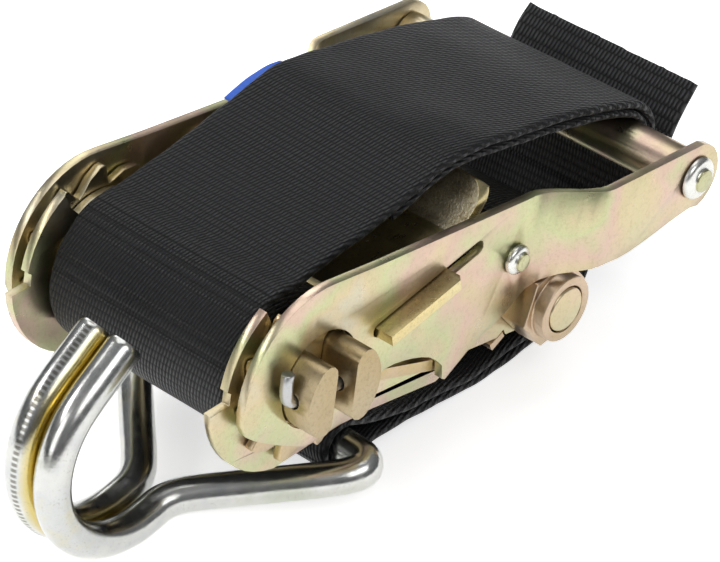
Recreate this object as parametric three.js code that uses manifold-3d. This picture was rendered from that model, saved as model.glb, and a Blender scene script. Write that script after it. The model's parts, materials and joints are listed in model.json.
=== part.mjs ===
// Ratchet strap buckle with its wound webbing, short fixed strap and double-J hook.
// Millimetres, +Z up. X runs from the drum end (-) to the grip end (+), Y across the strap.
// The part stands as it is laid down: on the hook's bend and on the fixed strap.
// Side shapes are drawn in the handle's own plane: u along the closed handle, w square to it,
// both from the spindle's axis. One tilted group turns that plane into the standing pose.
import * as THREE from 'three';
import { mergeVertices } from 'three/addons/utils/BufferGeometryUtils.js';
import Module from 'manifold-3d';

const wasm = await Module();
wasm.setup();

// ---- driving dimensions -------------------------------------------------------------
const TILT = THREE.MathUtils.degToRad(14.5);   // closed handle points this far down at its grip
const SPINDLE_AT = [-39.614, 0, 42.4];     // spindle axis over the middle of the footprint
const GAP = 0.3;                               // clearance between touching pieces

const WEB_HALF = 24.5;                         // 50 mm webbing, slightly cupped
const WEB_THICK = 2.3;

const PLATE = 2.0;                             // all side plates
const FRAME_IN = 26.5;                         // inner face of a frame plate
const GEAR_IN = 28.8;
const HANDLE_IN = 31.1;
const JOG = 8.4;                               // grip end of the handle is this much wider a side
const JOG_FROM = 60;
const JOG_TO = 75;

const MANDREL_R = 10.2;
const MANDREL_SLOT = 5.6;
const MANDREL_END = 39.8;
const HOLE_R = 10.6;
const ROLL_R = 17.5;

const TEETH = 11;
const TOOTH_TIP = 19;
const TOOTH_ROOT = 14.6;
const FIRST_TIP = THREE.MathUtils.degToRad(60);

const BOLT = [70.9, -3.4];
const BOLT_R = 5;
const SLEEVE_R = 7.5;
const GRIP = [104, 20];
const GRIP_R = 5;
const MID_ROD = [56.7, 10.3];

const DRIVE_DIR = THREE.MathUtils.degToRad(20.5);
const LOCK_DIR = THREE.MathUtils.degToRad(-10.3);
const LOCK_FROM = [0, -3.2];                   // a point on the lock pawl's mid line
const PAWL_THICK = 2.5;

const WIRE_R = 3.75;
const HOOK_BAR = [22.6, -27.1];
const HOOK_HALF = 36.8;                        // bar half length to its sharp corners
const HOOK_DIR = THREE.MathUtils.degToRad(204.8);
const HOOK_ARM = 36;
const HOOK_BEND_R = 20.9;
const HOOK_TURN = THREE.MathUtils.degToRad(160);
const HOOK_STUB = 13.4;
const HOOK_PAIR = 4.05;                        // half the distance between the two J wires

// ---- materials ----------------------------------------------------------------------
const finish = (color, roughness, metalness) =>
  () => new THREE.MeshStandardMaterial({ color, roughness, metalness });
const yellowZinc = finish(0xc9b98a, 0.35, 0.9);
const darkZinc = finish(0x9a8352, 0.45, 0.9);
const brightZinc = finish(0xb9bcc0, 0.3, 1.0);
const springSteel = finish(0x8d8f92, 0.35, 1.0);
const webbing = finish(0x141519, 0.85, 0.0);
const blueLabel = finish(0x1f5fd0, 0.6, 0.0);

// ---- solids -------------------------------------------------------------------------
function solid(geometry) {
  const bare = geometry.index ? geometry.toNonIndexed() : geometry.clone();
  bare.deleteAttribute('normal');
  bare.deleteAttribute('uv');
  const merged = mergeVertices(bare, 1e-4);
  return new wasm.Manifold(new wasm.Mesh({
    numProp: 3,
    vertProperties: new Float32Array(merged.attributes.position.array),
    triVerts: new Uint32Array(merged.index.array),
  }));
}

function geometryOf(manifold) {
  const mesh = manifold.getMesh();
  const geometry = new THREE.BufferGeometry();
  geometry.setAttribute('position', new THREE.BufferAttribute(mesh.vertProperties, 3));
  geometry.setIndex(new THREE.BufferAttribute(mesh.triVerts, 1));
  geometry.computeVertexNormals();
  return geometry;
}

// A (u, w) outline extruded across the strap from y0 to y1.
function slab(shape, y0, y1, curveSegments = 12) {
  const geometry = new THREE.ExtrudeGeometry(shape, {
    depth: y1 - y0, bevelEnabled: false, curveSegments,
  });
  geometry.rotateX(Math.PI / 2);
  geometry.translate(0, y1, 0);
  return solid(geometry);
}

function outline(points) {
  return new THREE.Shape(points.map(([u, w]) => new THREE.Vector2(u, w)));
}

function disc([u, w], r) {
  const shape = new THREE.Shape();
  shape.absarc(u, w, r, 0, Math.PI * 2, false);
  return shape;
}

function barrel(centre, r, y0, y1, segments = 32) {
  return slab(disc(centre, r), y0, y1, segments);
}

// The mirror image in the strap's middle plane.
function mirrored(manifold) {
  return manifold.mirror([0, 1, 0]);
}

function arcPoints([u, w], r, from, to, steps) {
  const points = [];
  for (let i = 0; i <= steps; i += 1) {
    const a = THREE.MathUtils.degToRad(from + (to - from) * i / steps);
    points.push([u + r * Math.cos(a), w + r * Math.sin(a)]);
  }
  return points;
}

// Smooth curve through points, sampled as plain pairs.
function smooth(points, samples, closed = false) {
  const curve = new THREE.CatmullRomCurve3(
    points.map(([u, w]) => new THREE.Vector3(u, w, 0)), closed, 'centripetal');
  return curve.getSpacedPoints(samples).map((p) => [p.x, p.y]);
}

// Points offset to the left of the direction of travel; reach may vary along the path.
function beside(path, reach) {
  return path.map(([u, w], i) => {
    const [a, b] = [path[Math.max(i - 1, 0)], path[Math.min(i + 1, path.length - 1)]];
    const length = Math.hypot(b[0] - a[0], b[1] - a[1]);
    const d = typeof reach === 'function' ? reach(i / (path.length - 1)) : reach;
    return [u - (b[1] - a[1]) / length * d, w + (b[0] - a[0]) / length * d];
  });
}

// Turns (along, across) of a pawl's own line into (u, w).
function onLine([u, w], angle) {
  const [c, s] = [Math.cos(angle), Math.sin(angle)];
  return ([along, across]) => [u + along * c - across * s, w + along * s + across * c];
}

// ---- frame --------------------------------------------------------------------------
const CAM_LOW = 14.2;                          // the pawl works the gear along this edge
const CAM_RIM = 21.4;                          // the pawl rides clear of the gear on this one
const CAM_DIP = 20.3;                          // and drops in here when the handle is fully open
const LOBE = [-2.1, 2.2];
const LOBE_R = 23.5;
const BOLT_END_R = 9;

function framePlate() {
  const edge = [
    ...arcPoints([0, 0], CAM_LOW, 18, 128, 12),
    [-11.4, 13.4],
    ...arcPoints([0, 0], CAM_RIM, 129, 176, 7),
    ...arcPoints([0, 0], CAM_DIP, 177.5, 185, 1),
    ...arcPoints(LOBE, LOBE_R, 192, 266, 10),
    [15, -17.5],
    [24, -16.9],
    [44, -16.9],
    [50, -13.9],
    [54, -12.4],
    ...arcPoints(BOLT, BOLT_END_R, -92, 88, 14),
    [34, 4.4],
  ];
  const shape = outline(edge);
  shape.holes.push(disc([0, 0], HOLE_R), disc(BOLT, BOLT_R + 0.2));
  const line = onLine(LOCK_FROM, LOCK_DIR);
  const slot = outline([[14, -1.55], [51, -1.55], [51, 1.55], [14, 1.55]].map(line));
  const notch = outline([[-4, -1.25], [2.4, -1.25], [2.4, 1.25], [-4, 1.25]]
    .map(onLine(SEAT_AT, SEAT_DIR)));
  const plate = slab(shape, -FRAME_IN - PLATE, -FRAME_IN);
  const cuts = [slot, notch].map((cut) => slab(cut, -FRAME_IN - 5, -FRAME_IN + 3));
  return cuts.reduce((body, cut) => body.subtract(cut), plate);
}

function hexOutline([u, w], acrossFlats, turn = 0) {
  const r = acrossFlats / Math.sqrt(3);
  return outline(arcPoints([u, w], r, turn, turn + 300, 5));
}

function rearBolt() {
  const head = slab(hexOutline(BOLT, 16, 19), FRAME_IN + PLATE + GAP, FRAME_IN + PLATE + 6.7);
  const shank = barrel(BOLT, BOLT_R, -38.6, FRAME_IN + PLATE + 1);
  return shank.add(head);
}

function sleeve() {
  const shape = disc(BOLT, SLEEVE_R);
  shape.holes.push(disc(BOLT, BOLT_R + GAP));
  return slab(shape, -FRAME_IN + GAP, FRAME_IN - GAP, 32);
}

function lockNut() {
  const inner = -FRAME_IN - PLATE - GAP;
  const hex = slab(hexOutline(BOLT, 17, 19), inner - 6.6, inner);
  const collar = barrel(BOLT, 7.4, inner - 9.6, inner - 6);
  return hex.add(collar).subtract(barrel(BOLT, BOLT_R + GAP, inner - 12, inner + 3));
}

// ---- pawls --------------------------------------------------------------------------
const EAR_END = 37.4;
const DRIVE_NOSE = TOOTH_TIP + 0.4;
const DRIVE_EAR = [16.2, 37.4];
const DRIVE_BEND = 39;
const TAB_TOP = [50, 26.6];
const TAB_HALF = 29.2;
const TAB_CORNER = 5;
const DRIVE_SPRING_FROM = [39, 13.6];          // springs lean a little off their pawls' lines
const DRIVE_SPRING_DIR = THREE.MathUtils.degToRad(-10.6);
const LOCK_NOSE = 20.1;
const LOCK_END = 43.2;
const LOCK_SPRING_FROM = [41.2, -10.8];
const LOCK_SPRING_DIR = THREE.MathUtils.degToRad(-3.5);

// A flat plate on a pawl's line; the outline is (along, Y) and symmetric across the strap.
function flatPlate(origin, angle, halfOutline, thick) {
  const other = halfOutline.map(([along, y]) => [along, -y]).reverse();
  const shape = outline([...halfOutline, ...other]);
  const geometry = new THREE.ExtrudeGeometry(shape, { depth: thick, bevelEnabled: false });
  geometry.translate(0, 0, -thick / 2);
  const place = new THREE.Matrix4().makeRotationY(-angle);
  place.setPosition(origin[0], 0, origin[1]);
  geometry.applyMatrix4(place);
  return solid(geometry);
}

// The tab's outline seen along the handle, with its two rounded corners.
function tabFace() {
  const inset = TAB_HALF - TAB_CORNER;
  const corner = arcPoints([inset, TAB_TOP[1] - TAB_CORNER + 0.6], TAB_CORNER, 0, 90, 6);
  const half = [[TAB_HALF, 0], ...corner];
  const other = half.map(([y, w]) => [-y, w]).reverse();
  const geometry = new THREE.ExtrudeGeometry(outline([...half, ...other]), {
    depth: 60, bevelEnabled: false,
  });
  geometry.applyMatrix4(new THREE.Matrix4().makeBasis(
    new THREE.Vector3(0, 1, 0), new THREE.Vector3(0, 0, 1), new THREE.Vector3(1, 0, 0)));
  return solid(geometry);
}

function drivePawl() {
  const ear = HANDLE_IN + GAP;
  const body = flatPlate([0, 0], DRIVE_DIR, [
    [DRIVE_NOSE, 0], [DRIVE_NOSE, ear], [DRIVE_EAR[0], ear], [DRIVE_EAR[0], EAR_END],
    [DRIVE_EAR[1] - 1, EAR_END], [DRIVE_EAR[1], EAR_END - 1], [DRIVE_EAR[1], 29],
    [DRIVE_BEND, 26.5], [DRIVE_BEND, 0],
  ], PAWL_THICK);
  const line = onLine([0, 0], DRIVE_DIR);
  const half = PAWL_THICK / 2;
  const foot = line([DRIVE_BEND - 2.5, 0]);
  const knee = line([DRIVE_BEND, 0.4]);
  const path = smooth([foot, knee, [42.2, 17.6], TAB_TOP], 10);
  const tabSide = outline([...beside(path, half), ...beside(path, -half).reverse()]);
  const spring = onLine(DRIVE_SPRING_FROM, DRIVE_SPRING_DIR);
  const gap = [[-0.3, -6], [18, -6], [18, 6], [-0.3, 6]].map(spring);
  const bent = slab(tabSide, -TAB_HALF, TAB_HALF).intersect(tabFace());
  const tab = bent.subtract(slab(outline(gap), -6.5, 6.5));
  const peg = [[-3.5, -1], [4.5, -1], [4.5, 1], [-3.5, 1]].map(spring);
  return body.add(tab).add(slab(outline(peg), -2.6, 2.6));
}

function lockPawl() {
  const body = flatPlate(LOCK_FROM, LOCK_DIR, [
    [LOCK_NOSE, 0], [LOCK_NOSE, HANDLE_IN - GAP], [LOCK_END - 1.5, HANDLE_IN - GAP],
    [LOCK_END, HANDLE_IN - GAP - 1.5], [LOCK_END, FRAME_IN - 0.4], [40, FRAME_IN - 0.4], [40, 0],
  ], PAWL_THICK);
  const spring = onLine(LOCK_SPRING_FROM, LOCK_SPRING_DIR);
  const peg = [[-3, -0.9], [4.2, -0.9], [4.2, 0.9], [-3, 0.9]].map(spring);
  return body.add(slab(outline(peg), -1.9, 1.9));
}

// A coil spring along a pawl's line, between two distances from the line's origin.
function coil(origin, angle, from, to, radius, wire, turns) {
  const points = [];
  const perTurn = 10;
  for (let i = 0; i <= turns * perTurn; i += 1) {
    const a = Math.PI * 2 * i / perTurn;
    const along = from + (to - from) * i / (turns * perTurn);
    points.push(new THREE.Vector3(along, radius * Math.cos(a), radius * Math.sin(a)));
  }
  const section = new THREE.Shape();
  section.absarc(0, 0, wire, 0, Math.PI * 2, false);
  const geometry = new THREE.ExtrudeGeometry(section, {
    extrudePath: new THREE.CatmullRomCurve3(points), steps: turns * perTurn, curveSegments: 3,
  });
  const place = new THREE.Matrix4().makeRotationY(-angle);
  place.setPosition(origin[0], 0, origin[1]);
  geometry.applyMatrix4(place);
  return solid(geometry);
}

// The cross bar that holds the lock spring, its ends lying in the frame plates' notches.
const SEAT_AT = [63.2, -13.4];
const SEAT_DIR = THREE.MathUtils.degToRad(37);

function lockSeat() {
  const corners = [[-2.1, -0.9], [2.1, -0.9], [2.1, 0.9], [-2.1, 0.9]];
  const y = FRAME_IN + PLATE - 0.1;
  return slab(outline(corners.map(onLine(SEAT_AT, SEAT_DIR))), -y, y);
}

// ---- drum ---------------------------------------------------------------------------
const SLOT_TURN = THREE.MathUtils.degToRad(3.5);

// Half of a split bar: the D outline on one side of the slot, with rounded corners.
function dOutline(side, gap, r) {
  const flat = gap / 2;
  const round = 2.6;
  const reach = Math.sqrt((r - round) ** 2 - (flat + round) ** 2);
  const lean = THREE.MathUtils.radToDeg(Math.atan2(reach, flat + round));
  const points = [
    ...arcPoints([0, 0], r, -lean, lean, 16),
    ...arcPoints([flat + round, reach], round, lean + 20, 180, 4),
    ...arcPoints([flat + round, -reach], round, 180, 360 - lean - 20, 4),
  ];
  const turned = points.map(([u, w]) => {
    const [x, y] = [u * side, w * side];
    return [x * Math.cos(SLOT_TURN) - y * Math.sin(SLOT_TURN),
      x * Math.sin(SLOT_TURN) + y * Math.cos(SLOT_TURN)];
  });
  return outline(turned);
}

const PIN_R = 1.35;
const PIN_Y = 35.4;

function pinHole(y) {
  const hole = new THREE.CylinderGeometry(PIN_R + 0.3, PIN_R + 0.3, 40, 16);
  hole.rotateZ(Math.PI / 2);
  hole.translate(0, y, -0.6);
  return solid(hole);
}

function mandrelHalf(side) {
  const bar = slab(dOutline(side, MANDREL_SLOT, MANDREL_R), -MANDREL_END, MANDREL_END);
  return bar.subtract(pinHole(-PIN_Y)).subtract(pinHole(PIN_Y));
}

function gear() {
  const points = [];
  for (let i = 0; i < TEETH; i += 1) {
    const tip = FIRST_TIP + i * Math.PI * 2 / TEETH;
    const at = (r, degrees) => {
      const a = tip + THREE.MathUtils.degToRad(degrees);
      points.push([r * Math.cos(a), r * Math.sin(a)]);
    };
    at(TOOTH_ROOT, -7.5);
    at(TOOTH_ROOT + 1.2, -5.4);
    at(TOOTH_TIP - 0.6, -2.6);
    at(TOOTH_TIP, -1.2);
    at(TOOTH_TIP - 0.2, 2.6);
    at(TOOTH_ROOT + 2.6, 12);
    at(TOOTH_ROOT + 0.5, 20.5);
  }
  const shape = outline(points);
  const disk = slab(shape, -GEAR_IN - PLATE, -GEAR_IN);
  const cut = (side) => slab(dOutline(side, MANDREL_SLOT - 0.6, MANDREL_R + GAP), -40, -20);
  return disk.subtract(cut(1)).subtract(cut(-1));
}

// A pin through both halves of the mandrel, its end bent up against the handle plate.
function splitPin() {
  const path = new THREE.CatmullRomCurve3([
    [8.6, -0.6], [0, -0.6], [-9.5, -0.6], [-11.6, 0.2], [-12.5, 2.2], [-12.9, 6.4],
  ].map(([u, w]) => new THREE.Vector3(u, -PIN_Y, w)), false, 'centripetal');
  const section = new THREE.Shape();
  section.absarc(0, 0, PIN_R, 0, Math.PI * 2, false);
  return solid(new THREE.ExtrudeGeometry(section, {
    extrudePath: path, steps: 22, curveSegments: 5,
  }));
}

// The wound webbing, and the layer of it that passes through the mandrel's slot.
function webbingRoll() {
  const ring = disc([0, 0], ROLL_R);
  ring.holes.push(disc([0, 0], MANDREL_R + GAP));
  const half = MANDREL_SLOT / 2 - 0.5;
  const c = Math.cos(SLOT_TURN);
  const s = Math.sin(SLOT_TURN);
  const reach = MANDREL_R + 1.5;
  const corners = [[-half, -reach], [half, -reach], [half, reach], [-half, reach]];
  const layer = outline(corners.map(([x, y]) => [x * c - y * s, x * s + y * c]));
  return slab(ring, -WEB_HALF, WEB_HALF, 48).add(slab(layer, -WEB_HALF, WEB_HALF));
}

// ---- handle -------------------------------------------------------------------------
const HANDLE_FRONT_R = 21;

function handleEdge() {
  return [
    ...arcPoints([0, 0], HANDLE_FRONT_R, 90, 192, 14),
    ...smooth([[-20.5, -4.4], [-19.2, -6.8], [-14.8, -9.3], [-8, -12.3], [-1.5, -14.7]], 8).slice(1),
    [1.7, -14.6],
    [9.4, -12.7],
    ...smooth([[13.4, -9.4], [16, -6.2], [19.5, -4.2], [26, -4.0], [34.6, -6.1], [38.8, -9.2]], 10),
    [39.6, -12.6],
    [40.6, -13.0],
    ...smooth([[47.4, -7.6], [55.1, -3.7], [59, -1.2], [63, 2.9], [67.8, 5.6], [74, 6.9],
      [82.5, 7.2], [91, 9.1], [98.7, 11.3], [104.4, 12.6]], 18),
    ...arcPoints([103.8, 19.6], 7.9, -66, 84, 9),
    [88, 25.9],
    [57, 23.4],
    [13, 21.3],
  ];
}

function joggedSheet() {
  const bend = [];
  const steps = 8;
  for (let i = 0; i <= steps; i += 1) {
    const t = i / steps;
    bend.push([JOG_FROM + (JOG_TO - JOG_FROM) * t, JOG * t * t * (3 - 2 * t)]);
  }
  const inner = [[-40, 0], ...bend, [130, JOG]].map(([u, y]) => [u, -HANDLE_IN - y]);
  const outer = inner.map(([u, y]) => [u, y - PLATE]).reverse();
  const geometry = new THREE.ExtrudeGeometry(outline([...inner, ...outer]), {
    depth: 80, bevelEnabled: false,
  });
  geometry.translate(0, 0, -35);
  return solid(geometry);
}

function handlePlate() {
  const shape = outline(handleEdge());
  shape.holes.push(disc([0, 0], HOLE_R), disc(MID_ROD, 2.8), disc(GRIP, 3.3));
  const prism = slab(shape, -50, -25, 24);
  const line = onLine([0, 0], DRIVE_DIR);
  const [from, to, half] = [15.4, 48.2, 1.6];
  const slotEdge = [
    ...arcPoints([to - half, 0], half, -90, 90, 6),
    ...arcPoints([from + half, 0], half, 90, 270, 6),
  ];
  const slot = slab(outline(slotEdge.map(line)), -50, -20);
  const relief = slab(disc(line([34.6, -2.2]), 3.2), -50, -20);
  return joggedSheet().intersect(prism).subtract(slot).subtract(relief);
}

// A rod riveted over at both ends: shank, heads outside the plates, and upset stubs.
function rivetedRod(at, shankR, headR, stubR, plateOut) {
  const face = plateOut + GAP;
  const head = (y0, y1, r) => barrel(at, r, y0, y1, 24);
  let rod = head(-face - 1.2, face + 1.2, shankR);
  for (const side of [1, -1]) {
    const span = (a, b, r) => head(Math.min(side * a, side * b), Math.max(side * a, side * b), r);
    rod = rod.add(span(face, face + 1.4, headR)).add(span(face + 1.2, face + 2.4, stubR));
  }
  return rod;
}

function middleRod() {
  const y = HANDLE_IN - GAP;
  return rivetedRod(MID_ROD, 2.5, 3.3, 2, HANDLE_IN + PLATE).add(barrel(MID_ROD, 4, -y, y, 24));
}

function gripTube() {
  const shape = disc(GRIP, GRIP_R);
  shape.holes.push(disc(GRIP, 3.4));
  const y = HANDLE_IN + JOG - GAP;
  return slab(shape, -y, y, 32);
}

// ---- webbing on the handle ----------------------------------------------------------
// Outer face of the band: it leaves the roll tangentially, humps and folds over the grip.
const BAND_TOP = [
  [0.5, 18.15], [5, 19.5], [15.7, 23.3], [23.2, 25.8], [32, 29.8], [41, 33.2], [50, 34.2],
  [60, 34.1], [72, 33.8], [84, 33.4], [94, 32.0], [101, 31.0], [105.4, 29.6], [109.8, 26.2],
  [111.6, 22.6], [112.2, 16], [111, 8], [108.8, 2.4], [105.4, -4],
];
const BAND_UNDER = [
  [103.5, -3.2], [106.7, 3.2], [108.9, 8.8], [110, 14.5], [109.6, 20], [108, 24], [104, 26.2], [98.5, 27.8],
  [88, 29.3], [72, 29.8], [58, 30.4], [46, 30.2], [36, 27.4], [27, 23.6], [20, 21.6],
  [13, 19.7], [7, 18.3],
];

function band() {
  const bed = arcPoints([0, 0], ROLL_R + GAP, 72, 88, 4);
  const edge = [...smooth(BAND_TOP, 40), ...smooth(BAND_UNDER, 36), ...bed];
  return slab(outline(edge), -WEB_HALF, WEB_HALF);
}

function tail() {
  const path = smooth([[112, 5.2], [114.6, 10.6], [117, 17.8], [120, 24], [123.6, 29.6]], 12);
  const half = WEB_THICK / 2;
  return slab(outline([...beside(path, half), ...beside(path, -half).reverse()]), -25, 22.5);
}

function label() {
  const shape = outline([[32, 27.2], [38.6, 30.2], [46, 31.4], [46, 31.1], [38.7, 29.9], [32.1, 26.9]]);
  return slab(shape, WEB_HALF + GAP, WEB_HALF + 2.6);
}

// ---- fixed strap and hook -----------------------------------------------------------
// Two layers sewn together: round the sleeve, back under the frame, round the hook's bar.
const STRAP_LOWER = [
  [28, -31.0], [40, -28.7], [52, -28.2], [64, -27.243], [82, -22.588], [92, -17.6], [97, -11.5],
  [98.2, -4.8], [95, 1.6], [88, 6.6], [80, 8.1], [73, 6.9],
];
const STRAP_UPPER = [
  [74, 4.4], [80, 3.1], [87, 1.2], [92, -2.8], [93.3, -7.4], [90, -12.4], [83, -16.6],
  [72.4, -19.6], [62.5, -22.3], [50, -22.7], [40, -23.4], [28, -22.6],
];

function fixedStrap() {
  const cut = STRAP_LOWER.findIndex(([u]) => u === 82);
  const lower = [
    ...smooth(STRAP_LOWER.slice(0, cut), 8),
    ...smooth(STRAP_LOWER.slice(cut), 16),
  ];
  const belt = outline([...lower, ...smooth(STRAP_UPPER, 24)]);
  const wrap = WIRE_R + GAP;
  const nose = outline([
    ...arcPoints(HOOK_BAR, wrap + WEB_THICK, 84, 278, 16), [29, -31.1], [29, -22.6]]);
  const eye = outline([...arcPoints(HOOK_BAR, wrap, 55, 305, 16), [28.6, -28.2], [28.6, -26]]);
  const y = WEB_HALF;
  const lap = barrel(BOLT, SLEEVE_R + GAP + WEB_THICK, -y, y, 32);
  const body = slab(belt, -y, y).add(slab(nose, -y, y)).add(lap);
  return body.subtract(slab(eye, -y - 1, y + 1))
    .subtract(barrel(BOLT, SLEEVE_R + GAP, -y - 1, y + 1, 32));
}

// Centre line of one half of the wire: from mid bar, out to the corner, in along the
// converging arm, round the bend and up to the tip.
function hookLine(side) {
  const dir = [Math.cos(HOOK_DIR), Math.sin(HOOK_DIR)];
  const converge = HOOK_ARM - 5.5;
  const corner = 9;
  const arm = (x) => {
    const y = HOOK_HALF + (HOOK_PAIR - HOOK_HALF) * Math.min(1, x / converge);
    return new THREE.Vector3(HOOK_BAR[0] + dir[0] * x, side * y, HOOK_BAR[1] + dir[1] * x);
  };
  const points = [0, 0.4, HOOK_HALF - corner - 1].map((y) =>
    new THREE.Vector3(HOOK_BAR[0], side * y, HOOK_BAR[1]));
  points.shift();
  const sharp = arm(0);
  const [a, b] = [points[points.length - 1], arm(corner)];
  for (const t of [0.25, 0.5, 0.75]) {
    const left = a.clone().lerp(sharp, t);
    points.push(left.lerp(sharp.clone().lerp(b, t), t));
  }
  for (const x of [corner, 15, 21, 26]) points.push(arm(x));
  points.push(arm(29.6).setY(side * (HOOK_PAIR + 1.6)));
  points.push(arm(33).setY(side * (HOOK_PAIR + 0.15)));
  const centre = [
    HOOK_BAR[0] + dir[0] * HOOK_ARM + HOOK_BEND_R * Math.sin(HOOK_DIR),
    HOOK_BAR[1] + dir[1] * HOOK_ARM - HOOK_BEND_R * Math.cos(HOOK_DIR),
  ];
  const bends = 12;
  for (let i = 0; i <= bends; i += 1) {
    const turn = HOOK_DIR + Math.PI / 2 - HOOK_TURN * i / bends;
    points.push(new THREE.Vector3(centre[0] + HOOK_BEND_R * Math.cos(turn), side * HOOK_PAIR,
      centre[1] + HOOK_BEND_R * Math.sin(turn)));
  }
  const end = points[points.length - 1];
  const out = HOOK_DIR - HOOK_TURN;
  for (const x of [HOOK_STUB / 2, HOOK_STUB]) {
    points.push(new THREE.Vector3(end.x + x * Math.cos(out), end.y, end.z + x * Math.sin(out)));
  }
  return points;
}

function hook() {
  const path = [...hookLine(-1).reverse(), ...hookLine(1)];
  const section = new THREE.Shape();
  section.absarc(0, 0, WIRE_R, 0, Math.PI * 2, false);
  const curve = new THREE.CatmullRomCurve3(path, false, 'centripetal');
  curve.arcLengthDivisions = 2000;
  return solid(new THREE.ExtrudeGeometry(section, {
    extrudePath: curve, steps: 110, curveSegments: 7,
  }));
}

// ---- assembly -----------------------------------------------------------------------
const part = new THREE.Group();
part.name = 'ratchet_strap';
part.position.set(...SPINDLE_AT);
part.rotation.y = TILT;

function place(name, manifold, material) {
  const mesh = new THREE.Mesh(geometryOf(manifold), material());
  mesh.name = name;
  part.add(mesh);
}

// Pieces that come as a pair, on the near (-Y) and far (+Y) side.
function placePair(name, near, material) {
  place(`${name}_near`, near, material);
  place(`${name}_far`, mirrored(near), material);
}

placePair('frame_plate', framePlate(), yellowZinc);
place('rear_bolt', rearBolt(), brightZinc);
place('bolt_sleeve', sleeve(), darkZinc);
place('lock_nut', lockNut(), yellowZinc);
place('lock_pawl', lockPawl(), yellowZinc);
place('lock_spring_seat', lockSeat(), darkZinc);
place('lock_spring', coil(LOCK_SPRING_FROM, LOCK_SPRING_DIR, 2.9, 18.8, 3.1, 0.45, 8),
  springSteel);

place('mandrel_front_half', mandrelHalf(-1), darkZinc);
place('mandrel_rear_half', mandrelHalf(1), darkZinc);
placePair('ratchet_gear', gear(), yellowZinc);
placePair('split_pin', splitPin(), springSteel);
place('webbing_roll', webbingRoll(), webbing);

placePair('handle_plate', handlePlate(), yellowZinc);
place('middle_rod', middleRod(), brightZinc);
place('grip_rod', rivetedRod(GRIP, 3, 4.8, 2.6, HANDLE_IN + JOG + PLATE), brightZinc);
place('grip_tube', gripTube(), yellowZinc);
place('drive_pawl', drivePawl(), darkZinc);
place('drive_spring', coil(DRIVE_SPRING_FROM, DRIVE_SPRING_DIR, 0.9, 13.2, 3.9, 0.5, 6),
  springSteel);

place('webbing_band', band(), webbing);
place('webbing_tail', tail(), webbing);
place('webbing_label', label(), blueLabel);
place('fixed_strap', fixedStrap(), webbing);
place('double_j_hook', hook(), brightZinc);

export default part;
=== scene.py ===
"""Ratchet strap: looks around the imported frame. Metres, in the row frame."""
import json
import math
import bmesh
import bpy
import numpy as np
from mathutils import Matrix, Vector, noise

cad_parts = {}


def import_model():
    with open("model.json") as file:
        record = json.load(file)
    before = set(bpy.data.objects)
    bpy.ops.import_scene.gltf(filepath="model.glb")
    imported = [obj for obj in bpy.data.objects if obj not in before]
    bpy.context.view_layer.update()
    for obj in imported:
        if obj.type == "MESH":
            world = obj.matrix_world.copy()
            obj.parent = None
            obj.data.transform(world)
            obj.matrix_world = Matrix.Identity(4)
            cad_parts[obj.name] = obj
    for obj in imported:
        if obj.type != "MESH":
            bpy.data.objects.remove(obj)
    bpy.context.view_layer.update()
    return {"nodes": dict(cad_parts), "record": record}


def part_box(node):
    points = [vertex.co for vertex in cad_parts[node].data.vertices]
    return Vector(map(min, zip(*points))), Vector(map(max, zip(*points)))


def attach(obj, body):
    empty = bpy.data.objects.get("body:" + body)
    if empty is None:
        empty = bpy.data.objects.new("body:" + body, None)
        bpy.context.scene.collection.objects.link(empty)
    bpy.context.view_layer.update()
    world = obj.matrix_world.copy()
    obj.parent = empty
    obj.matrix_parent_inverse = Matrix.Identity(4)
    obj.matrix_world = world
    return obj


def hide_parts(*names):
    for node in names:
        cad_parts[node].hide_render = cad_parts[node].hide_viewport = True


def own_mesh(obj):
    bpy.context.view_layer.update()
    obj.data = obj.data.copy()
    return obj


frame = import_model()
scene = bpy.context.scene
nodes_of = frame["nodes"]
joints = {j["name"]: j for j in frame["record"]["behaviour"]["joints"]}
SPINDLE = Vector(joints["handle_fold"]["pos_m"])
TILT = math.radians(14.5)       # the handle's plane leans down towards the grip
MM = 0.001


def at(u, w, y=0.0):
    """Handle-plane millimetres (u along, w square to it) and y across, as a point in the row frame."""
    c, s = math.cos(TILT), math.sin(TILT)
    return SPINDLE + Vector((u * c + w * s, y, -u * s + w * c)) * MM


# ---- camera -----------------------------------------------------------------------------
CAMERA_FROM_SPINDLE = Vector((-0.3731, -0.3984, 0.4386))
CAMERA_FORWARD = Vector((0.568, 0.539, -0.622))
CAMERA_RIGHT = Vector((0.6775, -0.7353, -0.0179))
SENSOR_MM = 36
LENS_MM = 177.18


def make_camera():
    forward = CAMERA_FORWARD.normalized()
    up = CAMERA_RIGHT.normalized().cross(forward).normalized()
    right = forward.cross(up)
    camera = bpy.data.objects.new("camera", bpy.data.cameras.new("camera"))
    scene.collection.objects.link(camera)
    turn = Matrix((right, up, -forward)).transposed().to_4x4()
    turn.translation = SPINDLE + CAMERA_FROM_SPINDLE
    camera.matrix_world = turn
    camera.data.sensor_width = SENSOR_MM
    camera.data.lens = LENS_MM
    camera.data.clip_start = 0.01
    scene.camera = camera


make_camera()


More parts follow.
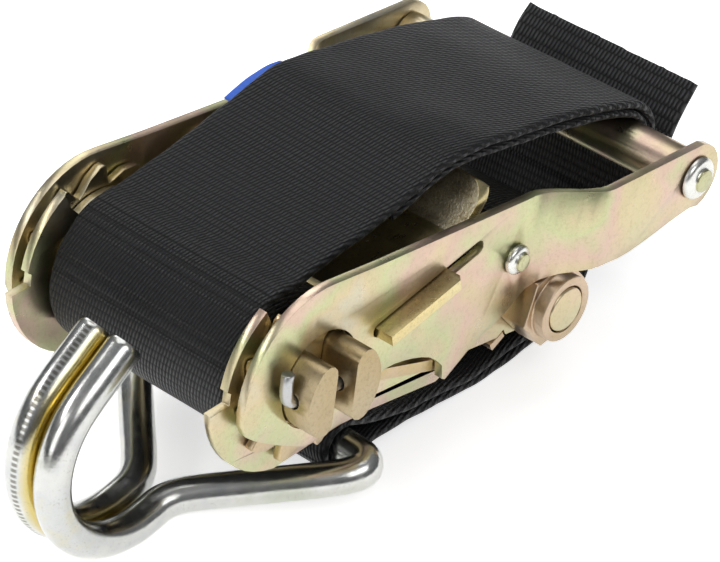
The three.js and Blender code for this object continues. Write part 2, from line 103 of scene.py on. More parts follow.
# ---- materials --------------------------------------------------------------------------
class Graph:
    """A small helper for building one material's node tree."""

    def __init__(self, name):
        self.material = bpy.data.materials.new(name)
        self.material.use_nodes = True
        self.tree = self.material.node_tree
        self.shader = next(n for n in self.tree.nodes if n.type == "BSDF_PRINCIPLED")

    def put(self, kind, **values):
        node = self.tree.nodes.new(kind)
        for key, value in values.items():
            setattr(node, key, value)
        return node

    def feed(self, socket, value):
        if hasattr(value, "is_output"):
            self.tree.links.new(value, socket)
        else:
            socket.default_value = value

    def math(self, operation, a, b=0.0, clamp=False):
        node = self.put("ShaderNodeMath", operation=operation, use_clamp=clamp)
        for socket, value in zip(node.inputs, (a, b)):
            self.feed(socket, value)
        return node.outputs[0]

    def noise(self, vector, scale, detail=2.0, roughness=0.5):
        node = self.put("ShaderNodeTexNoise")
        self.feed(node.inputs["Vector"], vector)
        node.inputs["Scale"].default_value = scale
        node.inputs["Detail"].default_value = detail
        node.inputs["Roughness"].default_value = roughness
        return node.outputs["Fac"]

    def ramp(self, factor, stops):
        node = self.put("ShaderNodeValToRGB")
        self.feed(node.inputs[0], factor)
        marks = node.color_ramp.elements
        while len(marks) < len(stops):
            marks.new(0.5)
        for mark, (place, colour) in zip(marks, stops):
            mark.position = place
            mark.color = (*colour, 1)
        return node.outputs[0]

    def mix(self, factor, a, b):
        node = self.put("ShaderNodeMix", data_type="RGBA", blend_type="MIX")
        self.feed(node.inputs[0], factor)
        for socket, value in ((node.inputs[6], a), (node.inputs[7], b)):
            self.feed(socket, (*value, 1) if isinstance(value, tuple) and len(value) == 3 else value)
        return node.outputs[2]

    def span(self, value, low, high, to_low=0.0, to_high=1.0):
        node = self.put("ShaderNodeMapRange")
        for socket, v in zip(node.inputs, (value, low, high, to_low, to_high)):
            self.feed(socket, v)
        return node.outputs[0]

    def bump(self, height, distance, strength, below=None):
        node = self.put("ShaderNodeBump")
        node.inputs["Distance"].default_value = distance
        node.inputs["Strength"].default_value = strength
        self.feed(node.inputs["Height"], height)
        if below is not None:
            self.feed(node.inputs["Normal"], below)
        return node.outputs[0]

    def finish(self, colour, roughness, normal=None, metallic=None):
        self.feed(self.shader.inputs["Base Color"], colour)
        self.feed(self.shader.inputs["Roughness"], roughness)
        if normal is not None:
            self.feed(self.shader.inputs["Normal"], normal)
        if metallic is not None:
            self.shader.inputs["Metallic"].default_value = metallic
        return self.material


def object_point(g):
    return g.put("ShaderNodeTexCoord").outputs["Object"]


FINE_DIRT = (0.30, 0.24, 0.13)
SAND_DIRT = (0.20, 0.15, 0.07)
CLOUD_SCALE = 38


def zinc(name, stops, rough=(0.26, 0.42), grain=0.5):
    """Passivated zinc: slow clouds of interference colour, fine grain, faint rubbed marks."""
    g = Graph(name)
    p = object_point(g)
    clouds = g.noise(p, CLOUD_SCALE, 3.0, 0.55)
    large = g.noise(p, CLOUD_SCALE * 0.35, 1.0)
    tone = g.math("ADD", g.math("MULTIPLY", clouds, 0.6), g.math("MULTIPLY", large, 0.4))
    colour = g.ramp(tone, stops)
    fine = g.noise(p, 2600, 2.0, 0.7)
    colour = g.mix(g.span(fine, 0.35, 0.7, 0.0, 0.22 * grain), colour, FINE_DIRT)
    smear = g.noise(p, 160, 4.0, 0.6)
    rough_value = g.span(smear, 0.3, 0.75, *rough)
    sand = g.noise(p, 1100, 2.0, 0.8)
    colour = g.mix(g.span(sand, 0.5, 0.68, 0.0, 0.30 * grain), colour, SAND_DIRT)
    normal = g.bump(sand, 0.00007, 0.6 * grain)
    normal = g.bump(g.noise(p, 300, 2.0), 0.00004, 0.4, normal)
    return g.finish(colour, rough_value, normal, 1.0)


PALE_GOLD = (0.62, 0.52, 0.33)
GREEN_GOLD = (0.54, 0.56, 0.32)
PINK = (0.64, 0.47, 0.38)
PALE_BLUE = (0.54, 0.58, 0.53)
BROWN_GOLD = (0.40, 0.31, 0.16)
DEEP_GOLD = (0.52, 0.41, 0.22)

plate_zinc = zinc("plate_zinc", [
    (0.30, PALE_BLUE), (0.41, PALE_GOLD), (0.47, GREEN_GOLD), (0.54, PINK), (0.60, PALE_GOLD),
    (0.72, GREEN_GOLD)])
inner_zinc = zinc("inner_zinc", [
    (0.30, (0.62, 0.60, 0.46)), (0.45, DEEP_GOLD), (0.58, (0.60, 0.46, 0.34)), (0.72, BROWN_GOLD)],
    rough=(0.25, 0.4))
brown_zinc = zinc("brown_zinc", [
    (0.30, (0.50, 0.41, 0.25)), (0.48, (0.44, 0.34, 0.19)), (0.62, (0.48, 0.40, 0.27)),
    (0.72, BROWN_GOLD)], rough=(0.30, 0.46), grain=0.9)
bright_zinc = zinc("bright_zinc", [
    (0.30, (0.70, 0.70, 0.66)), (0.50, (0.78, 0.78, 0.75)), (0.70, (0.66, 0.66, 0.60))],
    rough=(0.22, 0.36), grain=0.35)
steel_wire = zinc("steel_wire", [
    (0.30, (0.42, 0.43, 0.44)), (0.70, (0.60, 0.60, 0.60))], rough=(0.3, 0.45), grain=0.5)


def cut_edge(name, light, dark):
    """Sheared or sandy surface: coarse sparkling grain in both colour and relief."""
    g = Graph(name)
    p = object_point(g)
    grain = g.noise(p, 1500, 3.0, 0.75)
    patch = g.noise(p, 260, 2.0)
    colour = g.ramp(g.math("ADD", g.math("MULTIPLY", grain, 0.7), g.math("MULTIPLY", patch, 0.3)),
                    [(0.38, dark), (0.50, light), (0.66, (0.86, 0.80, 0.60))])
    normal = g.bump(grain, 0.00014, 0.9)
    return g.finish(colour, g.span(grain, 0.3, 0.7, 0.5, 0.28), normal, 1.0)


edge_zinc = cut_edge("edge_zinc", (0.42, 0.34, 0.19), (0.13, 0.10, 0.05))
sand_zinc = cut_edge("sand_zinc", (0.66, 0.56, 0.36), (0.30, 0.23, 0.12))
gold_zinc = zinc("gold_zinc", [
    (0.30, (0.62, 0.52, 0.24)), (0.48, (0.72, 0.60, 0.30)), (0.60, (0.66, 0.60, 0.38)),
    (0.72, (0.58, 0.46, 0.20))], rough=(0.24, 0.38), grain=0.8)


SERRATED = 11.0         # millimetres round the wire from its seam to the row of tooth marks
TEETH_FROM = 180.0      # and along it, to where they begin
TOOTH_PITCH = 1.1


def hook_finish():
    """Bright zinc wire with drawing marks along it and small bright scuffs."""
    g = Graph("hook_zinc")
    uv = g.put("ShaderNodeTexCoord").outputs["UV"]
    p = object_point(g)
    stretch = g.put("ShaderNodeMapping")
    g.feed(stretch.inputs["Vector"], uv)
    stretch.inputs["Scale"].default_value = (0.05, 2.6, 1)
    drawn = g.noise(stretch.outputs[0], 3.0, 4.0, 0.6)
    tone = g.noise(p, 70, 3.0, 0.6)
    colour = g.ramp(tone, [(0.32, (0.52, 0.54, 0.47)), (0.47, (0.63, 0.63, 0.60)),
                           (0.60, (0.56, 0.57, 0.56)), (0.74, (0.60, 0.57, 0.44))])
    place = g.put("ShaderNodeSeparateXYZ")
    g.feed(place.inputs[0], p)
    groove = g.span(g.math("ABSOLUTE", place.outputs[1]), 0.0010, 0.0023, 1.0, 0.0)
    front = g.span(place.outputs[0], -0.066, -0.058, 1.0, 0.0)
    colour = g.mix(g.math("MULTIPLY", groove, front), colour, (0.60, 0.50, 0.20))
    pits = g.noise(p, 1700, 2.0, 0.7)
    colour = g.mix(g.span(pits, 0.58, 0.72, 0.0, 0.45), colour, (0.34, 0.33, 0.28))
    split = g.put("ShaderNodeSeparateXYZ")
    g.feed(split.inputs[0], uv)
    teeth = g.math("SINE", g.math("MULTIPLY", split.outputs[0], 2 * math.pi / TOOTH_PITCH))
    line = g.math("ABSOLUTE", g.math("SUBTRACT", split.outputs[1], SERRATED))
    mask = g.math("MULTIPLY", g.span(line, 0.4, 0.9, 1.0, 0.0),
                  g.span(split.outputs[0], TEETH_FROM, TEETH_FROM + 2, 0.0, 1.0))
    colour = g.mix(g.math("MULTIPLY", mask, g.span(teeth, -0.2, 0.6, 0.7, 0.0)), colour,
                   (0.10, 0.09, 0.06))
    normal = g.bump(drawn, 0.00004, 0.25)
    normal = g.bump(pits, 0.00003, 0.5, normal)
    return g.finish(colour, g.span(g.noise(p, 420, 3.0), 0.3, 0.7, 0.15, 0.27), normal, 1.0)


hook_zinc = hook_finish()


CREASES = (28.4, 31.2, 38.6, 41.2, 43.6)    # millimetres along the band, where it bends over the roll
MARK_LINE = 12.5        # millimetres from the strap's middle to each pair of woven lines
MARK_GAP = 1.1          # and from the middle of a pair to its lines


def webbing_finish(name, row=1.7, dash=0.85, slant=0.45, peak_sheen=(0.0135, 0.0138, 0.0165),
                   pit_shade=(0.0008, 0.0008, 0.0012), relief=0.00038, lines=True):
    """Woven polyester: rows of slanted dashes across the strap, coloured from painted shade in the
    pits between the threads to a painted sheen on their tops. UV is millimetres along and across.
    """
    g = Graph(name)
    uv = g.put("ShaderNodeSeparateXYZ")
    g.feed(uv.inputs[0], g.put("ShaderNodeTexCoord").outputs["UV"])
    wobble = g.noise(object_point(g), 900, 2.0)
    along = g.math("ADD", uv.outputs[0], g.math("MULTIPLY", g.math("SUBTRACT", wobble, 0.5), 0.35))
    across = g.math("ADD", uv.outputs[1], g.math("MULTIPLY", g.math("SUBTRACT", wobble, 0.5), 0.30))
    rows = g.math("DIVIDE", along, row)
    odd = g.math("MULTIPLY", g.math("FLOOR", rows), 0.5)
    within = g.math("FRACT", rows)
    step = g.math("ADD", g.math("DIVIDE", across, dash), g.math("MULTIPLY", within, slant))
    step = g.math("ADD", step, odd)
    thread = g.math("ABSOLUTE", g.math("SINE", g.math("MULTIPLY", step, math.pi)))
    arch = g.math("SINE", g.math("MULTIPLY", within, math.pi))
    body = g.math("MULTIPLY", g.math("POWER", thread, 1.3), g.math("POWER", arch, 0.28))
    height = g.math("ADD", body, g.math("MULTIPLY", wobble, 0.15))
    # Painted shade in the weave's pits and painted sheen on its thread tops, following the weave's
    # height.
    colour = g.mix(g.math("POWER", body, 2.4, clamp=True), pit_shade, peak_sheen)
    fuzz = g.noise(object_point(g), 60, 3.0)
    colour = g.mix(g.span(fuzz, 0.35, 0.7, 0.0, 0.40), colour, (0.004, 0.004, 0.006))
    if lines:
        third = g.math("ABSOLUTE", g.math("SUBTRACT", g.math("ABSOLUTE", across), MARK_LINE))
        pair = g.math("ABSOLUTE", g.math("SUBTRACT", third, MARK_GAP))
        dark = g.span(pair, 0.25, 0.7, 0.55, 0.0)
        colour = g.mix(dark, colour, (0.003, 0.003, 0.004))
        # Painted shade along each crease where the band bends over the roll; the height dip is the
        # crease's real relief.
        for place in CREASES:
            off = g.math("ABSOLUTE", g.math("SUBTRACT", along, place))
            fold = g.span(off, 0.35, 0.75, 1.0, 0.0)
            colour = g.mix(g.math("MULTIPLY", fold, 0.8), colour, (0.002, 0.002, 0.003))
            height = g.math("SUBTRACT", height, g.math("MULTIPLY", fold, 1.2))
    normal = g.bump(height, relief, 0.9)
    g.shader.inputs["Sheen Weight"].default_value = 0.03
    g.shader.inputs["Sheen Roughness"].default_value = 0.4
    g.shader.inputs["Specular IOR Level"].default_value = 0.36
    return g.finish(colour, g.span(body, 0.0, 1.0, 0.75, 0.34), normal, 0.0)


webbing = webbing_finish("webbing")
# The tail's lighter peak colour is a stronger painted sheen on its thread tops.
tail_webbing = webbing_finish("tail_webbing", row=2.5, dash=1.0, slant=0.2,
                              peak_sheen=(0.055, 0.055, 0.058), relief=0.0004, lines=False)


def label_finish():
    g = Graph("label_blue")
    p = object_point(g)
    colour = g.mix(g.noise(p, 1400, 2.0), (0.012, 0.085, 0.55), (0.03, 0.16, 0.72))
    return g.finish(colour, 0.55, g.bump(g.noise(p, 2200, 2.0), 0.00008, 0.5), 0.0)


label_blue = label_finish()


# ---- metal pieces: each node's own shape, with broken edges ------------------------------
SIDE_FACING = 0.55      # a face whose normal leans this far towards Y is a plate's flat side
TAB_FACING = -0.35      # the sandy face of the finger tab looks this far towards -X,
TAB_LENGTH = 0.012      # and lies within these metres of the pawl's rear end


def machined(node, body, face, edge=None, width=0.28, segments=2, angle=32,
             tab=None):
    """A copy of a CAD node with its arrises rounded. Cut edges and a tab can have other finishes."""
    mesh = nodes_of[node].data.copy()
    piece = bpy.data.objects.new(node + "_piece", mesh)
    scene.collection.objects.link(piece)
    bm = bmesh.new()
    bm.from_mesh(mesh)
    bmesh.ops.remove_doubles(bm, verts=bm.verts, dist=2e-6)
    bmesh.ops.dissolve_limit(bm, angle_limit=math.radians(0.8), verts=bm.verts, edges=bm.edges)
    bm.normal_update()
    for f in bm.faces:
        f.smooth = True
        f.material_index = 0 if edge is None or abs(f.normal.y) > SIDE_FACING else 1
    bm.to_mesh(mesh)
    bm.free()
    mesh.materials.clear()
    mesh.materials.append(face)
    if edge is not None:
        mesh.materials.append(edge)
    if tab is not None:
        mesh.materials.append(tab)
        tab_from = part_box(node)[1][0] - TAB_LENGTH
        for polygon in mesh.polygons:
            if polygon.normal.x < TAB_FACING and polygon.center.x > tab_from:
                polygon.material_index = 2
    bevel = piece.modifiers.new("arris", "BEVEL")
    bevel.width = width * MM
    bevel.segments = segments
    bevel.limit_method = "ANGLE"
    bevel.angle_limit = math.radians(angle)
    bevel.harden_normals = True
    bevel.use_clamp_overlap = True
    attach(piece, body)
    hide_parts(node)


for side in ("near", "far"):
    machined("frame_plate_" + side, "frame", plate_zinc, edge_zinc)
    machined("handle_plate_" + side, "handle", plate_zinc, edge_zinc)
    machined("ratchet_gear_" + side, "spindle", inner_zinc, edge_zinc, 0.22)
    machined("split_pin_" + side, "spindle", steel_wire, None, 0.2, angle=50)
machined("mandrel_front_half", "spindle", brown_zinc, inner_zinc, 0.55, 3)
machined("mandrel_rear_half", "spindle", brown_zinc, inner_zinc, 0.55, 3)
machined("rear_bolt", "frame", plate_zinc, inner_zinc, 0.5)
machined("bolt_sleeve", "frame", inner_zinc, None, 0.3)
machined("lock_nut", "frame", inner_zinc, brown_zinc, 0.7, segments=3)
machined("lock_pawl", "lock_pawl", inner_zinc, edge_zinc, 0.3)
machined("lock_spring_seat", "frame", inner_zinc, edge_zinc, 0.25)
machined("grip_tube", "handle", plate_zinc, None, 0.3)
machined("drive_pawl", "drive_pawl", gold_zinc, gold_zinc, 0.35, 3, tab=sand_zinc)


# ---- swept shapes -----------------------------------------------------------------------
def catmull(points, spacing):
    """Centripetal Catmull-Rom through the points, resampled at about even spacing."""
    pts = [np.array(p, float) for p in points]
    pts = [2 * pts[0] - pts[1], *pts, 2 * pts[-1] - pts[-2]]
    dense = []
    for a, b, c, d in zip(pts, pts[1:], pts[2:], pts[3:]):
        t0 = 0.0
        t1 = t0 + max(np.linalg.norm(b - a), 1e-9) ** 0.5
        t2 = t1 + max(np.linalg.norm(c - b), 1e-9) ** 0.5
        t3 = t2 + max(np.linalg.norm(d - c), 1e-9) ** 0.5
        for t in np.linspace(t1, t2, 24, endpoint=False):
            a1 = (t1 - t) / (t1 - t0) * a + (t - t0) / (t1 - t0) * b
            a2 = (t2 - t) / (t2 - t1) * b + (t - t1) / (t2 - t1) * c
            a3 = (t3 - t) / (t3 - t2) * c + (t - t2) / (t3 - t2) * d
            b1 = (t2 - t) / (t2 - t0) * a1 + (t - t0) / (t2 - t0) * a2
            b2 = (t3 - t) / (t3 - t1) * a2 + (t - t1) / (t3 - t1) * a3
            dense.append((t2 - t) / (t2 - t1) * b1 + (t - t1) / (t2 - t1) * b2)
    dense.append(pts[-2])
    dense = np.array(dense)
    lengths = np.concatenate([[0], np.cumsum(np.linalg.norm(np.diff(dense, axis=0), axis=1))])
    count = max(int(round(lengths[-1] / spacing)), 2)
    even = np.linspace(0, lengths[-1], count + 1)
    return np.stack([np.interp(even, lengths, dense[:, k]) for k in range(dense.shape[1])], axis=1)


def new_piece(name, verts, faces, uvs, material):
    """A smooth-shaded object from vertices in the row frame, one UV to a vertex."""
    mesh = bpy.data.meshes.new(name)
    mesh.from_pydata([tuple(v) for v in verts], [], faces)
    layer = mesh.uv_layers.new(name="UVMap")
    for loop in mesh.loops:
        layer.data[loop.index].uv = uvs[loop.vertex_index]
    mesh.materials.append(material)
    for polygon in mesh.polygons:
        polygon.use_smooth = True
    piece = bpy.data.objects.new(name, mesh)
    scene.collection.objects.link(piece)
    return piece


def tube_faces(rings, sides, clockwise=False):
    """Quads between rings of vertices, then a cap at each end."""
    faces = []
    for i in range(rings - 1):
        for k in range(sides):
            near, far, j = i * sides, (i + 1) * sides, (k + 1) % sides
            quad = (near + k, near + j, far + j, far + k)
            if clockwise:
                quad = (near + k, far + k, far + j, near + j)
            faces.append(quad)
    last = (rings - 1) * sides
    first_cap, last_cap = tuple(range(sides)), tuple(range(last, last + sides))
    if clockwise:
        return faces + [first_cap, last_cap[::-1]]
    return faces + [first_cap[::-1], last_cap]


# Flat webbing, in millimetres. The noise rates are cycles to a millimetre.
STRIP_STEP = 0.8        # between the sections swept along a path
EDGE_REACH = 1.2        # how far the half-round edge stands out, in half thicknesses
SELVEDGE_PITCH = 1.75   # between the loops along the edge
SELVEDGE_LOOP = 0.14    # how far each loop stands out
WAVE_ALONG = 0.06       # noise rate of the waves in the cloth
WAVE_ACROSS = 0.05
WANDER = 0.22           # how far the strip strays sideways
WANDER_ALONG = 0.11
FRAY_ACROSS = 0.8       # noise rate of the cut end


def strip_section(half, thick):
    """Section of flat webbing with half-round edges, as (across, height)."""
    t = thick / 2
    flat = half - t * EDGE_REACH
    top = [(y, t) for y in np.linspace(-flat, flat, 41)]
    right = [(flat + math.sin(a) * t * EDGE_REACH, math.cos(a) * t)
             for a in np.linspace(0, math.pi, 7)[1:-1]]
    bottom = [(y, -t) for y, _ in reversed(top)]
    left = [(-y, h) for y, h in reversed(right)]
    return top + right + bottom + left


def strip(name, path, thick, half, body, material, wave, start_uv=0.0, fray=0.0, centre=0.0):
    """Webbing along a (u, w) path in millimetres, with waves, a selvedge and a frayed far end."""
    path = catmull(path, STRIP_STEP)
    section = strip_section(half, thick)
    n = len(path)
    tangent = np.gradient(path, axis=0)
    tangent /= np.linalg.norm(tangent, axis=1)[:, None]
    normal = np.stack([-tangent[:, 1], tangent[:, 0]], axis=1)
    run = np.concatenate([[0], np.cumsum(np.linalg.norm(np.diff(path, axis=0), axis=1))])
    verts, uvs = [], []
    for i in range(n):
        for y, h in section:
            seed = Vector((run[i] * WAVE_ALONG + start_uv, y * WAVE_ACROSS, 3.1))
            lift = wave * noise.noise(seed) * 2
            side = WANDER * noise.noise(Vector((run[i] * WANDER_ALONG + start_uv, 7.0, 0.0)))
            loop = SELVEDGE_LOOP * math.sin(run[i] * 2 * math.pi / SELVEDGE_PITCH)
            edge = (abs(y) > half - thick) * loop
            end = fray * noise.noise(Vector((y * FRAY_ACROSS, 1.0, 0.0))) if i == n - 1 else 0.0
            u = path[i, 0] + normal[i, 0] * (h + lift) + tangent[i, 0] * end
            w = path[i, 1] + normal[i, 1] * (h + lift) + tangent[i, 1] * end
            verts.append(at(u, w, centre + y + side + math.copysign(edge, y)))
            uvs.append((start_uv + run[i], y))
    piece = new_piece(name, verts, tube_faces(n, len(section), clockwise=True), uvs, material)
    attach(piece, body)
    return piece


def ring_points(centre, r, start, end, count):
    """Points round an arc, with its angles in degrees."""
    return [(centre[0] + r * math.cos(math.radians(a)), centre[1] + r * math.sin(math.radians(a)))
            for a in np.linspace(start, end, count)]


TURNED_SIDES = 56


def turned(name, node, centre, profile, body, materials):
    """A turned piece along Y: half profile as (y, r, finish), outside end first, then mirrored."""
    rows = [(-y, r, m) for y, r, m in profile] + [(y, r, m) for y, r, m in reversed(profile)]
    verts, uvs, finishes = [], [], []
    for y, r, _ in rows:
        for k in range(TURNED_SIDES):
            a = 2 * math.pi * k / TURNED_SIDES
            verts.append(at(centre[0] + r * math.cos(a), centre[1] + r * math.sin(a), y))
            uvs.append((y, r * a))
    for row, following in zip(rows, rows[1:]):
        finishes += [max(row[2], following[2])] * TURNED_SIDES
    finishes += [rows[0][2], rows[-1][2]]
    piece = new_piece(name, verts, tube_faces(len(rows), TURNED_SIDES), uvs, materials[0])
    for material in materials[1:]:
        piece.data.materials.append(material)
    for polygon, m in zip(piece.data.polygons, finishes):
        polygon.material_index = m
    piece.data.set_sharp_from_angle(angle=math.radians(42))
    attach(piece, body)
    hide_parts(node)


# Rivets: a flat upset stub (second finish) standing on a domed head.
MIDDLE_ROD = (56.7, 10.3)
GRIP_ROD = (104, 20)
stub_zinc = zinc("stub_zinc", [(0.3, (0.60, 0.58, 0.36)), (0.6, (0.50, 0.50, 0.30))], grain=0.9)
turned("middle_rod_piece", "middle_rod", MIDDLE_ROD, [
    (35.8, 1.55, 1), (35.65, 1.85, 1), (35.2, 1.98, 0), (34.85, 2.2, 0), (34.7, 2.75, 0),
    (34.45, 3.1, 0), (34.1, 3.28, 0), (33.5, 3.3, 0), (33.3, 3.1, 0), (33.3, 2.5, 0),
    (30.8, 2.5, 0), (30.8, 3.9, 0), (30.6, 4.0, 0), (10, 4.0, 0)],
    "handle", (bright_zinc, stub_zinc))
turned("grip_rod_piece", "grip_rod", GRIP_ROD, [
    (44.2, 2.1, 1), (44.05, 2.45, 1), (43.6, 2.6, 0), (43.3, 2.9, 0), (43.15, 3.8, 0),
    (42.9, 4.4, 0), (42.4, 4.72, 0), (41.9, 4.8, 0), (41.7, 4.5, 0), (41.7, 3.0, 0),
    (20, 3.0, 0)], "handle", (bright_zinc, stub_zinc))


# ---- webbing ----------------------------------------------------------------------------
WEB_HALF = 24.5         # half the width of 50 mm webbing, which lies slightly cupped
COIL_START = 95         # degrees
COIL_TURNS = 2.6
COIL_INNER = 11.6
COIL_PITCH = 1.35       # millimetres that each turn adds to the radius
SLOT_DIRECTION = 93.5   # degrees: the mandrel's slot, and the layer in it
SLOT_REACH = 11.2

# The layers left on the mandrel, wound inside the band's own turn.
coil_path = []
for angle in np.linspace(COIL_START, COIL_START - 360 * COIL_TURNS, 120):
    radius = COIL_INNER + (COIL_START - angle) / 360 * COIL_PITCH
    turn = math.radians(angle)
    coil_path.append((radius * math.cos(turn), radius * math.sin(turn)))
roll = strip("webbing_roll_piece", coil_path, 1.25, WEB_HALF - 0.3, "spindle", webbing, wave=0.0)
slot = math.radians(SLOT_DIRECTION)
core_path = [(r * math.cos(slot), r * math.sin(slot))
             for r in np.linspace(-SLOT_REACH, SLOT_REACH, 9)]
strip("webbing_core", core_path, 4.2, WEB_HALF - 0.4, "spindle", webbing, wave=0.0)
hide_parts("webbing_roll")

# Upper layer: round the front of the roll, over the handle, folded down behind the grip.
upper_path = ring_points((0, 0), 16.5, 268, 94, 24) + [
    (4, 18.2), (9.5, 20.0), (15.8, 22.2), (23.4, 24.8), (32, 28.7), (41, 32.2), (50, 33.25),
    (60, 33.15), (72, 32.85), (84, 32.4), (94, 31.1), (101, 30.0), (105.0, 28.7), (108.9, 25.7),
    (110.6, 22.4), (111.2, 16), (110.1, 8.4), (107.8, 2.7), (104.6, -3.6)]
upper = strip("webbing_band_upper", upper_path, 1.9, WEB_HALF, "handle", webbing, wave=0.22)

# Lower layer: close under the upper one, and folded down with it behind the grip.
lower_path = [
    (26, 23.7), (33, 26.9), (39, 29.4), (46, 31.1), (58, 31.25), (72, 30.75), (84, 30.25),
    (94, 29.1), (100, 28.0), (104.2, 26.7), (107.2, 24.4), (108.7, 21.6), (109.1, 16),
    (108.2, 10.5), (105.7, 4.6)]
strip("webbing_band_lower", lower_path, 1.7, WEB_HALF - 0.15, "handle", webbing, wave=0.15,
      start_uv=300)
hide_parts("webbing_band")

# The strap's cut end, standing up behind the grip.
TAIL_THICK = 2.2
TAIL_HALF = 23.7
TAIL_CENTRE = -1.3      # the tail has slipped sideways a little
tail_path = [(112, 5.2), (114.6, 10.6), (117, 17.8), (120, 24), (123.6, 29.6)]
tail = strip("webbing_tail_piece", tail_path, TAIL_THICK, TAIL_HALF, "handle", tail_webbing,
             wave=0.25, start_uv=600, fray=0.5, centre=TAIL_CENTRE)
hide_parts("webbing_tail")

# Blue label tucked under the far edge of the band.
LABEL_THICK = 0.3
LABEL_HALF = 4.0
LABEL_CENTRE = 23.6
label_path = [(31, 26.7), (34, 28.0), (38.6, 30.0), (43, 31.1), (47, 31.4)]
label = strip("label_piece", label_path, LABEL_THICK, LABEL_HALF, "handle", label_blue, wave=0.1,
              centre=LABEL_CENTRE)
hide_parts("webbing_label")

# Fixed strap: two layers round the sleeve, back under the frame and round the hook's bar.
BOLT = (70.9, -3.4)
BAR = (22.6, -27.1)
STRAP_THICK = 2.2
ROUND_SLEEVE = 8.95     # radius of the strap's middle round the sleeve
ROUND_BAR = 5.15        # and round the bar
inner_loop = ring_points(BOLT, ROUND_SLEEVE, 150, 62, 8) + [
    (80.2, 4.3), (87.2, 2.3), (92.6, -1.8), (94.4, -7.5), (91, -13.2), (83.4, -17.9),
    (72.6, -20.9), (62.6, -23.6), (50, -24.0), (40, -24.6), (30, -23.7)] \
    + ring_points(BAR, ROUND_BAR, 80, 205, 8)
outer_loop = ring_points(BOLT, ROUND_SLEEVE, 150, 330, 14)
under_loop = [(73.5, 5.9), (80, 6.9), (87.6, 5.2), (94, 0.6), (96.9, -5.0), (95.8, -11.2),
              (91.2, -16.3), (81.7, -21.05), (64, -25.6), (52, -26.5), (40, -27.5), (29, -29.9)] \
    + ring_points(BAR, ROUND_BAR, 285, 205, 8)
strap_inner = strip("fixed_strap_inner", inner_loop, STRAP_THICK, WEB_HALF, "strap", webbing,
                    wave=0.2, start_uv=800)
strip("fixed_strap_ring", outer_loop, STRAP_THICK, WEB_HALF, "strap", webbing, wave=0.0,
      start_uv=950)
strip("fixed_strap_under", under_loop, STRAP_THICK, WEB_HALF - 0.2, "strap", webbing, wave=0.1,
      start_uv=1100)
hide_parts("fixed_strap")


# ---- hook -------------------------------------------------------------------------------
WIRE = 3.75                         # radius of the wire, in millimetres as below
HOOK_DIR = math.radians(204.8)      # the way the arms leave the bar
BAR_HALF = 36.8                     # half the width across the two arms at the bar
PAIR = 4.05                         # half the distance between the wires where they run together
ARM = 36.0                          # from the bar to the start of the bend
ARM_MERGE = 5.5                     # how far before the bend the arms have met
BEND_R = 20.9
BEND_TURN = math.radians(160)
STUB = 13.4                         # straight length past the bend
CORNER = 9.0                        # how far each rounded corner at the bar reaches


def hook_half(side):
    """Centre line from the middle of the bar to the tip, as (u, w, y)."""
    dx, dw = math.cos(HOOK_DIR), math.sin(HOOK_DIR)

    def arm(x):
        y = BAR_HALF + (PAIR - BAR_HALF) * min(1.0, x / (ARM - ARM_MERGE))
        return np.array([BAR[0] + dx * x, BAR[1] + dw * x, side * y])

    a = np.array([BAR[0], BAR[1], side * (BAR_HALF - CORNER - 1)])
    sharp, b = arm(0), arm(CORNER)
    points = [np.array([BAR[0], BAR[1], side * 0.4]), a]
    for t in (0.25, 0.5, 0.75):
        points.append((a * (1 - t) + sharp * t) * (1 - t) + (sharp * (1 - t) + b * t) * t)
    points += [arm(x) for x in (CORNER, 15, 21, 26)]
    for x, spare in ((29.6, 1.6), (33, 0.15)):      # the arms ease into the pair
        point = arm(x)
        point[2] = side * (PAIR + spare)
        points.append(point)
    centre = (BAR[0] + dx * ARM + BEND_R * math.sin(HOOK_DIR),
              BAR[1] + dw * ARM - BEND_R * math.cos(HOOK_DIR))
    for i in range(13):
        t = HOOK_DIR + math.pi / 2 - BEND_TURN * i / 12
        points.append(np.array([centre[0] + BEND_R * math.cos(t), centre[1] + BEND_R * math.sin(t),
                                side * PAIR]))
    end, out = points[-1], HOOK_DIR - BEND_TURN
    for x in (STUB / 2, STUB):
        points.append(end + np.array([x * math.cos(out), x * math.sin(out), 0]))
    return points


def wire(name, points, radius, body, material, sides=28, spacing=0.7, chamfer=0.0):
    """A round wire swept along (u, w, y) points, with a frame carried smoothly along it."""
    path = catmull(points, spacing)
    places = [at(p[0], p[1], p[2]) for p in path]
    tangents = [(places[min(i + 1, len(places) - 1)] - places[max(i - 1, 0)]).normalized()
                for i in range(len(places))]
    side = tangents[0].orthogonal().normalized()
    verts, uvs, run = [], [], 0.0
    for i, (p, t) in enumerate(zip(places, tangents)):
        side = (side - t * side.dot(t)).normalized()
        other = t.cross(side)
        run += (p - places[i - 1]).length / MM if i else 0.0
        tip = min(i, len(places) - 1 - i)
        r = radius * (1 - chamfer * max(0, 1 - tip) / radius) * MM
        for k in range(sides):
            a = 2 * math.pi * k / sides
            verts.append(p + (side * math.cos(a) + other * math.sin(a)) * r)
            uvs.append((run, k / sides * 2 * math.pi * radius))
    piece = new_piece(name, verts, tube_faces(len(places), sides), uvs, material)
    piece.data.set_sharp_from_angle(angle=math.radians(60))
    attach(piece, body)
    return piece


hook_line = list(reversed(hook_half(-1))) + hook_half(1)
hook = wire("hook_piece", hook_line, WIRE, "hook", hook_zinc, chamfer=0.35)
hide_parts("double_j_hook")


# ---- springs ----------------------------------------------------------------------------
SPRING_STEPS = 16       # points to a turn


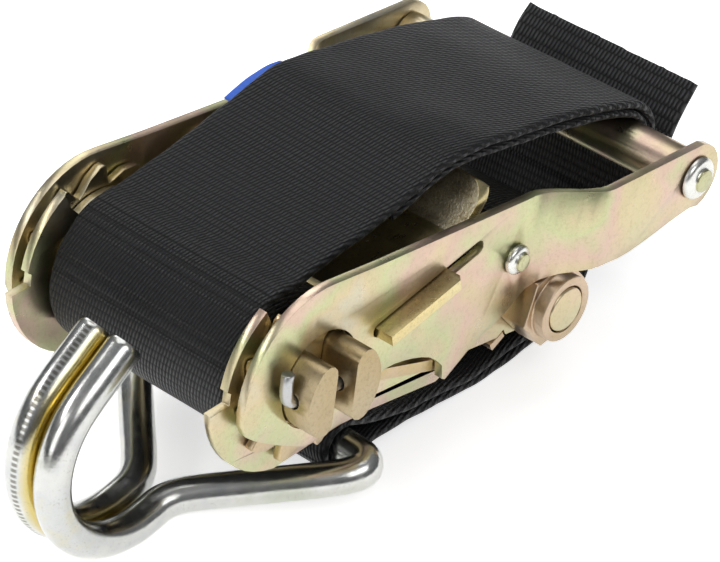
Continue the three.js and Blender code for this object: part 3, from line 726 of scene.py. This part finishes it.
def spring(name, node, body, origin, direction, start, end, radius, gauge, turns):
    """A compression spring with closer end turns, lying as its CAD node does, from start to end along
    a line from origin."""
    angle = math.radians(direction)
    c, s = math.cos(angle), math.sin(angle)
    points = []
    for i in range(turns * SPRING_STEPS + 1):
        a = 2 * math.pi * i / SPRING_STEPS
        t = i / (turns * SPRING_STEPS)
        along = start + (end - start) * (t * t * (3 - 2 * t) * 0.3 + t * 0.7)
        across = radius * math.sin(a)
        points.append((origin[0] + along * c - across * s, origin[1] + along * s + across * c,
                       radius * math.cos(a)))
    piece = wire(name, points, gauge, body, steel_wire, sides=10, spacing=0.5)
    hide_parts(node)
    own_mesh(piece)


spring("drive_spring_piece", "drive_spring", "handle",
       origin=(39, 13.6), direction=-10.6, start=0.9, end=13.2, radius=3.9, gauge=0.5, turns=6)
spring("lock_spring_piece", "lock_spring", "frame",
       origin=(41.2, -10.8), direction=-3.5, start=2.9, end=18.8, radius=3.1, gauge=0.45, turns=8)


# ---- floor and light --------------------------------------------------------------------
FLOOR_HALF = 3.0
FLOOR_GLOW = 0.62
SKY_STRENGTH = 0.28
AIM = Vector((0, 0, 0.03))      # where every softbox points


def floor():
    mesh = bpy.data.meshes.new("floor")
    corners = [(x * FLOOR_HALF, y * FLOOR_HALF, 0) for x, y in ((-1, -1), (1, -1), (1, 1), (-1, 1))]
    mesh.from_pydata(corners, [], [(0, 1, 2, 3)])
    piece = bpy.data.objects.new("floor", mesh)
    scene.collection.objects.link(piece)
    g = Graph("floor_white")
    tone = g.noise(object_point(g), 3.0, 2.0)
    mesh.materials.append(g.finish(g.mix(tone, (0.93, 0.93, 0.93), (0.96, 0.96, 0.96)), 0.9))
    g.shader.inputs["Specular IOR Level"].default_value = 0.1
    g.shader.inputs["Emission Color"].default_value = (1, 1, 1, 1)
    g.shader.inputs["Emission Strength"].default_value = FLOOR_GLOW


def softbox(name, place, size, power):
    data = bpy.data.lights.new(name, "AREA")
    data.shape = "RECTANGLE"
    data.size, data.size_y = size
    data.energy = power
    lamp = bpy.data.objects.new(name, data)
    scene.collection.objects.link(lamp)
    lamp.location = place
    aim = AIM - Vector(place)
    lamp.rotation_euler = aim.to_track_quat("-Z", "Y").to_euler()


def world():
    sky = bpy.data.worlds.new("studio")
    sky.use_nodes = True
    scene.world = sky
    tree = sky.node_tree
    background = tree.nodes["Background"]
    place = tree.nodes.new("ShaderNodeTexCoord")
    split = tree.nodes.new("ShaderNodeSeparateXYZ")
    ramp = tree.nodes.new("ShaderNodeValToRGB")
    tree.links.new(place.outputs["Generated"], split.inputs[0])
    tree.links.new(split.outputs[2], ramp.inputs[0])
    ramp.color_ramp.elements[0].position = 0.02
    ramp.color_ramp.elements[0].color = (0.30, 0.31, 0.33, 1)
    ramp.color_ramp.elements[1].position = 0.75
    ramp.color_ramp.elements[1].color = (0.95, 0.96, 1.0, 1)
    tree.links.new(ramp.outputs[0], background.inputs[0])
    background.inputs[1].default_value = SKY_STRENGTH


floor()
world()
softbox("key", (-0.25, -0.9, 1.0), (0.9, 0.6), 4.2)
softbox("top", (0.25, 0.25, 1.2), (1.0, 1.0), 4.6)
softbox("left", (-1.1, 0.1, 0.6), (0.5, 0.8), 2.4)
softbox("bend", (-0.66, 0.66, 0.82), (0.6, 0.22), 2.6)
softbox("back", (0.7, 1.0, 0.8), (0.7, 0.6), 3.2)

scene.view_settings.view_transform = "Standard"
